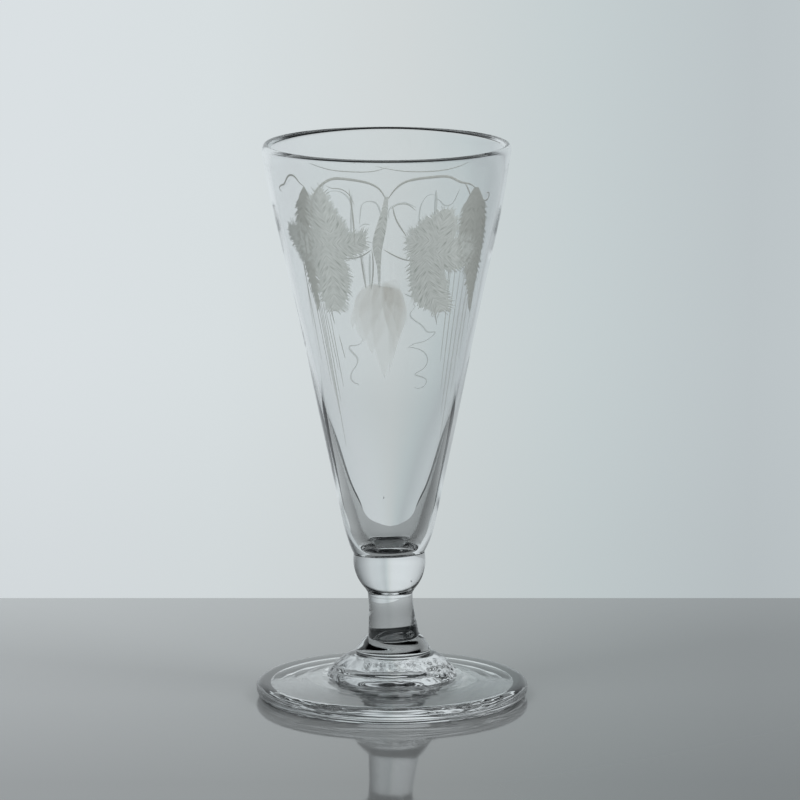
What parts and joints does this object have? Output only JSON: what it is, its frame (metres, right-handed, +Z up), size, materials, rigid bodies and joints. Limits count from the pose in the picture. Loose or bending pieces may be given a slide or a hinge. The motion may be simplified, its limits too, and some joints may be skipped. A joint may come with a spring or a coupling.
{
  "type": "ale glass",
  "caption": "Short stemmed drinking glass with a tall conical bowl, a ball knop, a lumpy collar and a plain round foot.",
  "frame": {"origin": "on the table, under the middle of the foot", "axes": "+Z up along the glass from the foot to the lip; +X to the right of the face with the hop leaves, which looks along -Y"},
  "size_m": [0.0652, 0.0652, 0.134],
  "materials": {
    "clear_glass": "smooth fire-polished lead glass, faintly grey",
    "collar_glass": "tooled lead glass with soft lumps and folds",
    "scar_glass": "broken lead glass, unpolished"
  },
  "bodies": {
    "root": {"bowl": "clear_glass", "knop": "clear_glass", "stem": "clear_glass", "foot_collar": "collar_glass", "foot": "clear_glass", "pontil_scar": "scar_glass"}
  },
  "joints": []
}
